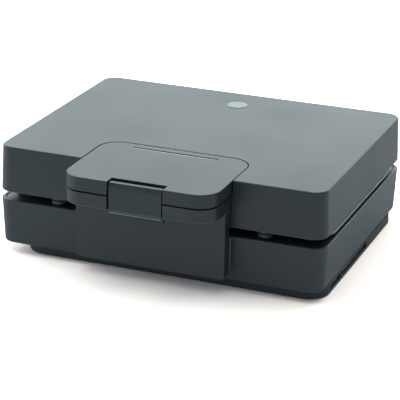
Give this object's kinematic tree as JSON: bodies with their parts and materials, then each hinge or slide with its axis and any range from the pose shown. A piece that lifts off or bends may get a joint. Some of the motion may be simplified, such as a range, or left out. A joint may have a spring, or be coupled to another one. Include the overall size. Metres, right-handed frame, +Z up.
{
  "type": "waffle maker",
  "caption": "Rectangular countertop waffle maker with a hinged lid, two lift-out waffle plates, a latched front handle and press buttons that free the plates.",
  "frame": {"origin": "under the middle of the whole object's bounding box, on the surface it stands on", "axes": "+Z up, -Y to the front with the handle and latch, +X to the right seen from the front"},
  "size_m": [0.303, 0.293, 0.1003],
  "materials": {
    "slate": "satin dark slate moulding",
    "inner_plastic": "matt dark moulding",
    "black_plastic": "matt black moulding",
    "non_stick": "dark non-stick coating on cast metal",
    "rod_steel": "dull sheathed steel",
    "sheet_metal": "bright pressed sheet",
    "steel": "plated steel",
    "rubber": "matt black rubber",
    "lens": "clear milky strip",
    "badge": "bare satin disc",
    "board": "green circuit board",
    "ceramic_plastic": "ivory moulded block"
  },
  "bodies": {
    "base": {"base_shell": "slate", "bottom_cover": "inner_plastic", "foot_front_left": "rubber", "foot_front_right": "rubber", "foot_back_left": "rubber", "foot_back_right": "rubber", "lower_handle": "slate", "lower_handle_screws": "steel", "lower_plate": "non_stick", "lower_element": "rod_steel", "lower_element_cradles": "sheet_metal", "lower_reflector": "sheet_metal", "thermostat": "black_plastic", "thermal_fuse": "sheet_metal", "terminal_block": "ceramic_plastic", "inlet_gland": "rubber", "hinge_bracket_left": "slate", "hinge_bracket_right": "slate", "hinge_pin_left": "steel", "hinge_pin_right": "steel", "base_screws": "steel", "lower_spring_left": "steel", "lower_spring_right": "steel"},
    "lid": {"lid_cover": "slate", "lid_frame": "inner_plastic", "upper_handle": "slate", "upper_handle_screws": "steel", "indicator_lens": "lens", "indicator_board": "board", "badge_disc": "badge", "upper_plate": "non_stick", "upper_element": "rod_steel", "upper_element_cradles": "sheet_metal", "upper_reflector": "sheet_metal", "hinge_arm_left": "slate", "hinge_arm_right": "slate", "lid_screws": "steel", "upper_spring_left": "steel", "upper_spring_right": "steel", "latch_pin": "steel", "latch_spring": "steel"},
    "latch_body": {"latch": "slate"},
    "lower_button_left_body": {"lower_button_left": "black_plastic"},
    "lower_button_right_body": {"lower_button_right": "black_plastic"},
    "upper_button_left_body": {"upper_button_left": "black_plastic"},
    "upper_button_right_body": {"upper_button_right": "black_plastic"}
  },
  "joints": [
    {"name": "lid_hinge", "type": "hinge", "parent": "base", "child": "lid", "pos_m": [0, 0.1401, 0.05485], "axis": [-1, 0, 0], "range_deg": [0, 105]},
    {"name": "latch_pivot", "type": "hinge", "parent": "lid", "child": "latch_body", "pos_m": [0, -0.14035, 0.0924], "axis": [-1, 0, 0], "range_deg": [0, 45], "stiffness_Nm_per_rad": 0.05, "springref_deg": -28.65},
    {"name": "lower_button_left_press", "type": "slide", "parent": "base", "child": "lower_button_left_body", "axis": [0, 0, -1], "range_m": [0, 0.0015], "stiffness_N_per_m": 400, "springref_m": -0.001, "deforming": ["lower_spring_left"]},
    {"name": "upper_button_left_press", "type": "slide", "parent": "lid", "child": "upper_button_left_body", "axis": [0, 0, 1], "range_m": [0, 0.0015], "stiffness_N_per_m": 400, "springref_m": -0.001, "deforming": ["upper_spring_left"]},
    {"name": "lower_button_right_press", "type": "slide", "parent": "base", "child": "lower_button_right_body", "axis": [0, 0, -1], "range_m": [0, 0.0015], "stiffness_N_per_m": 400, "springref_m": -0.001, "deforming": ["lower_spring_right"]},
    {"name": "upper_button_right_press", "type": "slide", "parent": "lid", "child": "upper_button_right_body", "axis": [0, 0, 1], "range_m": [0, 0.0015], "stiffness_N_per_m": 400, "springref_m": -0.001, "deforming": ["upper_spring_right"]}
  ]
}
